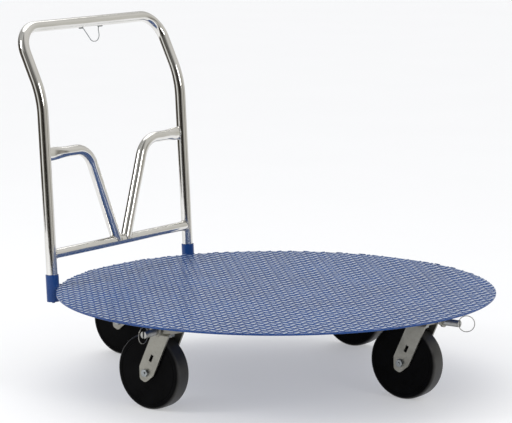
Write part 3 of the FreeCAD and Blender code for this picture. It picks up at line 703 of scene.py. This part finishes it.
def brace(at, side, material):
    """A bent brace: pressed flat at the post, round along its bend, coped onto the crossbar."""
    flat_y = at.half - POST_R - BRACE_FLAT_LENGTH
    round_y = flat_y - BRACE_TAPER_LENGTH
    foot = at.point(side * at.foot_y, at.crossbar_z)
    points = [at.point(side * round_y, at.brace_z), at.point(side * at.bend_y, at.brace_z), foot]
    path = arc_points(points, [BRACE_BEND_RADIUS], BEND_STEP / 1.5)
    frames = frames_along(path, at.face)
    body = [(p, u, v, BRACE_R, BRACE_R) for p, _, u, v in frames]
    u, v = frames[0][2:]
    press = []
    for k in range(BRACE_PRESS_STEPS):
        share = k / BRACE_PRESS_STEPS
        ease = share * share * (3 - 2 * share)
        y = side * (flat_y + (round_y - flat_y) * share)
        thick = BRACE_FLAT_THICK + (BRACE_R - BRACE_FLAT_THICK) * ease
        tall = BRACE_FLAT_TALL + (BRACE_R - BRACE_FLAT_TALL) * ease
        press.append((at.point(y, at.brace_z), u, v, thick, tall))
    end = at.point(side * (at.half - POST_R * 0.45), at.brace_z)
    rings = [(end, u, v, BRACE_FLAT_THICK, BRACE_FLAT_TALL)] + press + body
    name = "handle_brace_chromed_" + ("left" if side > 0 else "right")
    mesh = ring_mesh(name, rings)
    node = "handle_brace_left" if side > 0 else "handle_brace_right"
    given(linked(name, smoothed(mesh, TUBE_SMOOTH)), "handle", "chrome", material, node)


# Weld beads

def weld_tree():
    """A rippled bead along each run of edges."""
    tree, got, out = grower("weld_bead", {
        "Bead Radius": "Float", "Ripple Pitch": "Float", "Ripple": "Float", "Step": "Float",
        "Seed": "Int", "Finish": "Material"})
    line = add_node(tree, "GeometryNodeMeshToCurve", {"Mesh": got["Geometry"]}).outputs["Curve"]
    line = add_node(tree, "GeometryNodeResampleCurve", {"Curve": line, "Length": got["Step"]},
                    mode="LENGTH").outputs["Curve"]
    run = add_node(tree, "GeometryNodeSplineParameter").outputs["Length"]
    wave = maths(tree, "FRACT", maths(tree, "DIVIDE", run, got["Ripple Pitch"]))
    hump = maths(tree, "MULTIPLY", maths(tree, "SUBTRACT", 1.0, wave), got["Ripple"])
    shake = add_node(tree, "FunctionNodeRandomValue", data_type="FLOAT")
    shake.inputs[2].default_value = 0.82
    shake.inputs[3].default_value = 0.90
    tree.links.new(got["Seed"], shake.inputs["Seed"])
    size = maths(tree, "ADD", hump, shake.outputs[1])
    profile = add_node(tree, "GeometryNodeCurvePrimitiveCircle", {
        "Resolution": 10, "Radius": got["Bead Radius"]}).outputs["Curve"]
    bead = add_node(tree, "GeometryNodeCurveToMesh", {
        "Curve": line, "Profile Curve": profile, "Scale": size, "Fill Caps": True}).outputs["Mesh"]
    bead = add_node(tree, "GeometryNodeRealizeInstances", {"Geometry": bead}).outputs["Geometry"]
    bead = add_node(tree, "GeometryNodeSetMaterial", {
        "Geometry": bead, "Material": got["Finish"]}).outputs["Geometry"]
    tree.links.new(bead, out["Geometry"])
    return tree


def weld_beads(name, runs, tree, radius, material):
    """Beads along several runs of points, as one piece. A run is (points, closed)."""
    points = []
    edges = []
    for run, closed in runs:
        start = len(points)
        points += [tuple(p) for p in run]
        edges += [(start + k, start + k + 1) for k in range(len(run) - 1)]
        if closed:
            edges.append((start + len(run) - 1, start))
    base = bpy.data.meshes.new(name + "_lines")
    base.from_pydata(points, edges, [])
    bead = grown(name, base, tree, {
        "Bead Radius": radius, "Ripple Pitch": WELD_PITCH, "Ripple": WELD_RIPPLE, "Step": WELD_STEP,
        "Seed": WELD_SEED, "Finish": material})
    smoothed(outward(bead.data), BEAD_SMOOTH)
    return bead


def post_joint(at, side, z, half_u, half_w):
    """Where an oval bar along Y meets a post: a closed run round the joint."""
    centre = at.point(side * at.half, z)
    run = []
    for k in range(JOINT_STEPS):
        angle = 2 * math.pi * k / JOINT_STEPS
        offset = half_u * math.cos(angle)
        depth = math.sqrt(max(POST_R ** 2 - offset ** 2, 0))
        inward = Vector((0, side * depth, 0))
        run.append(centre + at.face * offset + at.axis * half_w * math.sin(angle) - inward)
    return run


def crossbar_joint(at, side):
    """Where a brace's foot straddles the crossbar."""
    foot = at.point(side * at.foot_y, at.crossbar_z)
    lean = Vector((0, side, 0)) * math.sin(BRACE_LEAN) + at.axis * math.cos(BRACE_LEAN)
    across = lean.cross(at.face)
    run = []
    for k in range(JOINT_STEPS):
        angle = 2 * math.pi * k / JOINT_STEPS
        offset = BRACE_R * math.cos(angle)
        held = max(-CROSSBAR_R, min(CROSSBAR_R, offset))
        height = math.sqrt(max(CROSSBAR_R ** 2 - held ** 2, 0))
        side_step = across * BRACE_R * math.sin(angle)
        rise = (height - side_step.dot(at.axis)) / lean.dot(at.axis)
        run.append(foot + at.face * held * 1.03 + side_step + lean * rise)
    return run


def handle_welds(at, tree, material):
    runs = []
    for side in (1, -1):
        runs.append((post_joint(at, side, at.crossbar_z, CROSSBAR_R, CROSSBAR_R), True))
        runs.append((post_joint(at, side, at.brace_z, BRACE_FLAT_THICK, BRACE_FLAT_TALL), True))
        runs.append((crossbar_joint(at, side), True))
    given(weld_beads("handle_weld_beads", runs, tree, WELD_R, material), "handle", "chrome", None)


def handle(materials, weld):
    at = Handle()
    handle_tube(at, materials["chrome"])
    crossbar(at, materials["chrome"])
    for side in (1, -1):
        brace(at, side, materials["chrome"])
    handle_welds(at, weld, materials["weld"])
    given(softened("wire_bail", "wire_bail_bright", 0.0002, 1), "handle", "chrome", materials["bright"],
          "wire_bail")
    given(softened("bail_tabs", "bail_tabs_bright", 0.0004), "handle", "chrome", materials["bright"],
          "bail_tabs")


# Painted steel under and beside the deck

def painted_steel(materials, weld):
    deck_low, deck_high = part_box("deck_plate")
    for node, bevel in (("cross_channel_long", 0.002), ("cross_channel_halves", 0.002),
                        ("caster_pads", 0.0008), ("handle_socket_left", 0.0006),
                        ("handle_socket_right", 0.0006), ("socket_stops", 0.0005)):
        given(softened(node, node + "_painted", bevel), "root", "blue_paint", materials["paint"], node)
    runs = pad_welds(deck_low.z) + channel_welds(deck_low.z)
    given(weld_beads("underdeck_weld_beads", runs, weld, UNDERDECK_WELD_R, materials["paint"]), "root",
          "blue_paint", None)
    runs = socket_welds(deck_low, deck_high)
    given(weld_beads("socket_weld_beads", runs, weld, SOCKET_WELD_R, materials["paint"]), "root",
          "blue_paint", None)


def caster_axis(name):
    """A caster's swivel axis and the direction from the deck's centre out to it."""
    centre = centre_of("deck_plate")
    low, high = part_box("top_plate_" + name)
    outward_way = {"front": Vector((1, 0, 0)), "left": Vector((0, 1, 0)),
                   "back": Vector((-1, 0, 0)), "right": Vector((0, -1, 0))}[name]
    reach = max((low - centre).dot(outward_way), (high - centre).dot(outward_way))
    swivel = reach - TOP_PLATE_HALF - LOCK_TAB_THICKNESS
    return Vector((centre.x, centre.y, 0)) + outward_way * swivel, outward_way


def pad_welds(z):
    runs = []
    for name in CASTERS:
        axis, out = caster_axis(name)
        side = Vector((-out.y, out.x, 0))
        corners = [(PAD_LONG, PAD_SHORT), (-PAD_LONG, PAD_SHORT),
                   (-PAD_LONG, -PAD_SHORT), (PAD_LONG, -PAD_SHORT)]
        points = [axis + out * a + side * b + Vector((0, 0, z)) for a, b in corners]
        points = [(points[-1] + points[0]) / 2] + points + [(points[-1] + points[0]) / 2]
        runs.append((arc_points(points, [PAD_WELD_CORNER] * 4, math.radians(15)), False))
    return runs


def channel_welds(z):
    """Stitch welds down both legs of each channel."""
    centre = centre_of("deck_plate")
    runs = []
    for bearing in (45, 135, 225, 315):
        angle = math.radians(bearing)
        along = Vector((math.cos(angle), math.sin(angle), 0))
        side = Vector((-along.y, along.x, 0))
        for half in (-CHANNEL_HALF, CHANNEL_HALF):
            start = CHANNEL_HALF + CHANNEL_WELD_START
            while start + STITCH_LENGTH < CHANNEL_REACH:
                a = Vector((centre.x, centre.y, z)) + side * half + along * start
                runs.append(([a, a + along * STITCH_LENGTH], False))
                start += STITCH_LENGTH + STITCH_GAP
    return runs


def socket_welds(deck_low, deck_high):
    """Beads where each socket's web meets the deck: upright at the rim, and round it underneath."""
    centre = (deck_low + deck_high) / 2
    radius = (deck_high.x - deck_low.x) / 2
    runs = []
    for name in ("left", "right"):
        place = centre_of("handle_socket_" + name)
        out = Vector((place.x - centre.x, place.y - centre.y, 0)).normalized()
        side = Vector((-out.y, out.x, 0))
        for sign in (-1, 1):
            base = Vector((centre.x, centre.y, 0)) + out * (radius + 0.0004)
            base += side * sign * SOCKET_WELD_SIDE
            foot = base + Vector((0, 0, deck_low.z + 0.0006))
            head = base + Vector((0, 0, deck_high.z - 0.0012))
            runs.append(([foot, head], False))
        under = Vector((centre.x, centre.y, deck_low.z - 0.0004)) + out * (radius - SOCKET_WELD_INSET)
        runs.append(([under - side * SOCKET_WELD_UNDER, under + side * SOCKET_WELD_UNDER], False))
        for sign in (-1, 1):
            corner = under + side * sign * SOCKET_WELD_UNDER
            runs.append(([corner, corner + out * SOCKET_WELD_REACH], False))
    return runs


# Casters

def wheel_profile(radius, half, hub_half):
    """The wheel's outline as (radius, width) pairs from one bore edge round to the other."""
    def quarter(centre_r, centre_y, size, start, end, steps):
        return [(centre_r + size * math.cos(math.radians(start + (end - start) * k / steps)),
                 centre_y + size * math.sin(math.radians(start + (end - start) * k / steps)))
                for k in range(steps + 1)]

    ring_out = radius - FACE_RING_INSET
    ring_in = ring_out - FACE_RING_WIDTH
    side = [(BORE_R, hub_half - BORE_EDGE), (BORE_R + BORE_EDGE, hub_half)]
    side += quarter(HUB_R - HUB_EDGE, hub_half - HUB_EDGE, HUB_EDGE, 90, 0, 3)
    side += quarter(HUB_R + HUB_ROOT, half + HUB_ROOT, HUB_ROOT, 180, 270, 4)
    side += [(ring_in - FACE_RING_SLOPE, half), (ring_in, half - FACE_RING_DEPTH),
             (ring_out, half - FACE_RING_DEPTH), (ring_out + FACE_RING_SLOPE, half)]
    shoulder_r = radius - TREAD_CROWN - WHEEL_SHOULDER
    side += quarter(shoulder_r, half - WHEEL_SHOULDER, WHEEL_SHOULDER, 90, 0, 10)
    crown_half = half - WHEEL_SHOULDER
    crown = [(radius - TREAD_CROWN * (y / crown_half) ** 2, y)
             for y in (crown_half * k / 4 for k in range(3, 0, -1))]
    upper = side + crown
    lower = [(r, -y) for r, y in reversed(upper)]
    return upper + [(radius, 0.0)] + lower


def wheel(name, materials):
    low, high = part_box("wheel_" + name)
    centre = (low + high) / 2
    radius = (high.z - low.z) / 2
    hub_half = (high.y - low.y) / 2
    half = hub_half - HUB_PROUD
    profile = wheel_profile(radius, half, hub_half)
    piece_name = "wheel_moulded_" + name
    mesh = turned_mesh(piece_name, profile, WHEEL_STEPS)
    dusty = mesh.attributes.new("tread", "FLOAT", "POINT")
    reach = [math.hypot(v.co.x, v.co.y) for v in mesh.vertices]
    shares = [(r - radius + TREAD_DUST_START) / TREAD_DUST_FADE for r in reach]
    dusty.data.foreach_set("value", [min(1.0, max(0.0, share)) for share in shares])
    mesh.transform(Matrix.Translation(centre) @ Matrix.Rotation(math.radians(90), 4, "X"))
    given(linked(piece_name, smoothed(mesh, CAD_SMOOTH)), "wheel_" + name, "wheel_black", materials["wheel"],
          "wheel_" + name)


def caster(name, materials):
    finishes = [
        ("top_plate_", "root", "zinc_plate", "plate", 0.0007),
        ("fork_", "fork_" + name, "zinc_plate", "plate", 0.0007),
        ("lock_barrel_", "root", "bright_zinc", "satin", 0.0004),
        ("lock_plunger_", "lock_" + name, "bright_zinc", "steel", 0.0004),
        ("pull_ring_", "lock_" + name, "bright_zinc", "wire", 0.0002),
        ("axle_bolt_", "fork_" + name, "bright_zinc", "bright", 0.0004),
        ("axle_nut_", "fork_" + name, "bright_zinc", "bright", 0.0004)]
    for prefix, body, slot, material, bevel in finishes:
        node = prefix + name
        given(softened(node, prefix + "finished_" + name, bevel), body, slot, materials[material], node)
    wheel(name, materials)


def casters(materials):
    for name in CASTERS:
        caster(name, materials)
    for node, bevel in (("kingpin_nuts", 0.0004), ("plate_bolts", 0.0004)):
        given(softened(node, node + "_finished", bevel), "root", "bright_zinc", materials["bright"], node)


def inner_parts(materials):
    """CAD shapes that stay as they are and only take a finish."""
    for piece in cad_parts.values():
        if piece.hide_render:
            continue
        piece.data.materials.clear()
        piece.data.materials.append(materials["steel"])


# Stage

CAMERA_FROM_DECK = Vector((3.7403, -5.2982, 0))
CAMERA_HEIGHT = 1.4932
CAMERA_YAW = math.radians(35.708)
CAMERA_PITCH = math.radians(8.979)
CAMERA_ROLL = math.radians(-0.119)
CAMERA_LENS = 166.78
SENSOR_WIDTH = 36.0
FLOOR_HALF_WIDTH = 3.0
FLOOR_NEAR = 2.4
FLOOR_FAR = 60.0
FLOOR_GLOW = 0.38
VIEW_WHITE = (0.99, 0.99, 0.99)
SOFT_LIGHT = (0.86, 0.87, 0.89)
WALL_TOP = 0.26
CEILING_START = 0.46
SUN_POWER = 0.8
SUN_ANGLE = math.radians(55)
SUN_WAY = Vector((0.35, -0.45, -1.0))
LIGHT_TARGET = (0, 0, 0.5)

# What shines mirrors these, by bearing in degrees: 0 is at the camera, positive to its right.
STUDIO_WALLS = (
    (-180, (0.92, 0.93, 0.94)), (-152, (0.78, 0.79, 0.80)), (-138, (0.10, 0.09, 0.075)),
    (-74, (0.05, 0.043, 0.035)), (-66, (0.85, 0.85, 0.83)), (-50, (0.80, 0.80, 0.78)),
    (-40, (0.14, 0.13, 0.11)), (-10, (0.02, 0.018, 0.015)), (22, (0.03, 0.027, 0.022)),
    (34, (0.34, 0.33, 0.31)), (70, (0.60, 0.58, 0.54)), (80, (0.22, 0.21, 0.19)),
    (98, (0.62, 0.61, 0.57)), (146, (0.68, 0.67, 0.65)), (180, (0.92, 0.93, 0.94)))
STUDIO_CEILING = (
    (-180, (0.50, 0.50, 0.49)), (-120, (0.42, 0.42, 0.41)), (-40, (0.55, 0.55, 0.54)),
    (0, (0.12, 0.12, 0.11)), (50, (0.62, 0.61, 0.59)), (120, (0.70, 0.69, 0.66)),
    (180, (0.50, 0.50, 0.49)))


def camera():
    data = bpy.data.cameras.new("view")
    data.lens = CAMERA_LENS
    data.sensor_width = SENSOR_WIDTH
    data.clip_end = 200
    piece = linked("view", data)
    back = Vector((math.sin(CAMERA_YAW) * math.cos(CAMERA_PITCH),
                   -math.cos(CAMERA_YAW) * math.cos(CAMERA_PITCH), math.sin(CAMERA_PITCH)))
    level = Vector((math.cos(CAMERA_YAW), math.sin(CAMERA_YAW), 0))
    upright = back.cross(level)
    right = level * math.cos(CAMERA_ROLL) + upright * math.sin(CAMERA_ROLL)
    up = upright * math.cos(CAMERA_ROLL) - level * math.sin(CAMERA_ROLL)
    turn = Matrix((right, up, back)).transposed()
    place = CAMERA_FROM_DECK + Vector((centre_of("deck_plate").x, 0, CAMERA_HEIGHT))
    piece.matrix_world = Matrix.Translation(place) @ turn.to_4x4()
    bpy.context.scene.camera = piece


def floor():
    """The floor runs far back, but stops beside and in front of the object, out of the view."""
    right = Vector((math.cos(CAMERA_YAW), math.sin(CAMERA_YAW), 0)) * FLOOR_HALF_WIDTH
    ahead = Vector((-math.sin(CAMERA_YAW), math.cos(CAMERA_YAW), 0))
    near, far = ahead * -FLOOR_NEAR, ahead * FLOOR_FAR
    mesh = mesh_from("floor", [near - right, near + right, far + right, far - right], [(0, 1, 2, 3)])
    piece = linked("floor", mesh)
    material, tree, shader = new_material(
        "pale_floor", Roughness=0.7, Emission_Color=(0.93, 0.93, 0.94, 1), Emission_Strength=FLOOR_GLOW)
    place = object_place(tree)
    feeds(tree, shader, Base_Color=ramp(tree, noise(tree, place, 1.5, 4.0),
                                        (0.3, (0.513, 0.513, 0.513)), (0.7, (0.520, 0.520, 0.520))))
    piece.data.materials.append(material)


def softbox(name, place, target, size, power):
    data = bpy.data.lights.new(name, "AREA")
    data.shape = "RECTANGLE"
    data.size, data.size_y = size
    data.energy = power
    piece = linked(name, data)
    aim = (Vector(target) - Vector(place)).to_track_quat("-Z", "Y")
    piece.matrix_world = Matrix.Translation(place) @ aim.to_matrix().to_4x4()


def sky():
    """An even white for the view and an even pale grey for soft light. What shines mirrors a studio
    of its own, seen by glossy rays only: white behind the object, dark behind the camera and at the
    left, a bright strip between those two, greys at the right and a grey ceiling."""
    world = bpy.data.worlds.new("studio")
    bpy.context.scene.world = world
    world.use_nodes = True
    tree = world.node_tree
    background = tree.nodes["Background"]
    direction = add_node(tree, "ShaderNodeTexCoord").outputs["Generated"]
    rightward = vector_maths(tree, "DOT_PRODUCT", direction,
                             (math.cos(CAMERA_YAW), math.sin(CAMERA_YAW), 0))
    toward = vector_maths(tree, "DOT_PRODUCT", direction, (math.sin(CAMERA_YAW), -math.cos(CAMERA_YAW), 0))
    upward = add_node(tree, "ShaderNodeSeparateXYZ", {"Vector": direction}).outputs["Z"]
    bearing = maths(tree, "ARCTAN2", rightward, toward)
    around = spread(tree, bearing, 0.0, 1.0, -math.pi, math.pi)
    walls = ramp(tree, around, *(((degrees + 180) / 360, shade) for degrees, shade in STUDIO_WALLS))
    ceiling = ramp(tree, around, *(((degrees + 180) / 360, shade) for degrees, shade in STUDIO_CEILING))
    overhead = spread(tree, upward, 0.0, 1.0, WALL_TOP, CEILING_START)
    mirrored = mixed(tree, overhead, walls, ceiling)
    path = add_node(tree, "ShaderNodeLightPath").outputs
    light = mixed(tree, path["Is Glossy Ray"], SOFT_LIGHT, mirrored)
    seen = mixed(tree, path["Is Camera Ray"], light, VIEW_WHITE)
    tree.links.new(seen, background.inputs["Color"])
    background.inputs["Strength"].default_value = 1.0


def lights():
    sky()
    sun = bpy.data.lights.new("key", "SUN")
    sun.energy = SUN_POWER
    sun.angle = SUN_ANGLE
    piece = linked("key", sun)
    piece.matrix_world = SUN_WAY.to_track_quat("-Z", "Y").to_matrix().to_4x4()
    softbox("left_box", (-2.6, -3.4, 3.0), LIGHT_TARGET, (1.2, 1.8), 60)
    softbox("right_box", (4.2, -1.2, 2.6), LIGHT_TARGET, (0.9, 2.0), 45)
    bpy.context.scene.view_settings.view_transform = "Standard"


def main():
    camera()
    floor()
    lights()
    materials = make_materials()
    weld = weld_tree()
    deck(materials)
    handle(materials, weld)
    painted_steel(materials, weld)
    casters(materials)
    inner_parts(materials)


main()
